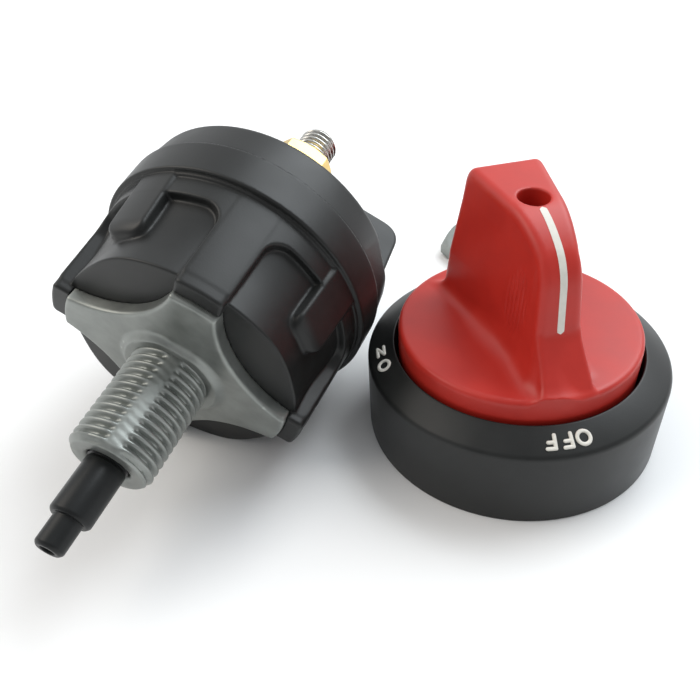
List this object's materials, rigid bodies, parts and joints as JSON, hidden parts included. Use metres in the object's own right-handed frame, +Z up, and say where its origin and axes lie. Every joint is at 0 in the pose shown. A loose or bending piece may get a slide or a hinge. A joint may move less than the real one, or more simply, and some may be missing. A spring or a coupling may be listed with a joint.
{
  "type": "battery isolator switch",
  "caption": "Battery isolator switch as a kit: round black switch unit on its side with threaded neck, spindle and terminal studs; beside it a dial ring with a red knob, and a loose nut.",
  "frame": {"origin": "centre of the dial ring's underside, on the surface that the parts lie on", "axes": "+Z up, along the dial ring's axis and out of the knob; +X points away from the switch unit; +Y runs from the dial towards the loose nut"},
  "size_m": [0.1498, 0.1499, 0.0741],
  "materials": {
    "black_plastic": "moulded, satin",
    "red_plastic": "moulded, semi-gloss",
    "zinc": "as-cast zinc alloy, satin",
    "brass": "machined",
    "copper": "bare copper, rolled",
    "steel": "machined, bright",
    "black_steel": "satin black",
    "spring_steel": "drawn wire",
    "rubber": "matt",
    "white_print": "printed",
    "ivory_plastic": "moulded acetal",
    "brown_plastic": "moulded thermoset"
  },
  "bodies": {
    "switch": {"housing": "black_plastic", "bracket": "zinc", "rear_cover": "black_plastic", "cover_gasket": "rubber", "cover_screws": "steel", "bracket_screws": "steel", "terminal_stud_a": "steel", "terminal_stud_b": "steel", "stud_washers": "steel", "stud_nuts": "brass"},
    "spindle_set": {"spindle": "black_steel", "cam_drum": "ivory_plastic", "drum_pin": "steel", "spindle_seal": "rubber", "thrust_washer": "brass", "retaining_clip": "spring_steel", "detent_ball": "steel", "detent_spring": "spring_steel"},
    "bridge_set": {"contact_bridge": "copper", "bridge_carrier": "brown_plastic", "bridge_rivets": "copper", "contact_spring": "spring_steel"},
    "dial": {"dial_ring": "black_plastic", "dial_marks": "white_print"},
    "knob_set": {"knob": "red_plastic", "pointer_line": "white_print", "knob_screw": "steel"},
    "loose_nut": {"mounting_nut": "zinc"}
  },
  "joints": [
    {"name": "spindle_turn", "type": "hinge", "parent": "switch", "child": "spindle_set", "pos_m": [-0.0713, 0.0151, 0.03581], "axis": [0.4282, 0.8857, 0.1794], "range_deg": [0, 90]},
    {"name": "bridge_slide", "type": "slide", "parent": "switch", "child": "bridge_set", "axis": [0.4282, 0.8857, 0.1794], "range_m": [0, 0.0029]},
    {"name": "handle_away", "type": "slide", "parent": "switch", "child": "dial", "axis": [1, 0, 0], "range_m": [0, 0.08]},
    {"name": "knob_turn", "type": "hinge", "parent": "dial", "child": "knob_set", "pos_m": [0, 0, 0], "axis": [0, 0, -1], "range_deg": [0, 90]},
    {"name": "nut_lift", "type": "slide", "parent": "switch", "child": "loose_nut", "axis": [0, 0, 1], "range_m": [0, 0.06]}
  ],
  "couplings": [
    {"joint": "spindle_turn", "follows": "bridge_slide", "rad_per_m": 541.65}
  ]
}
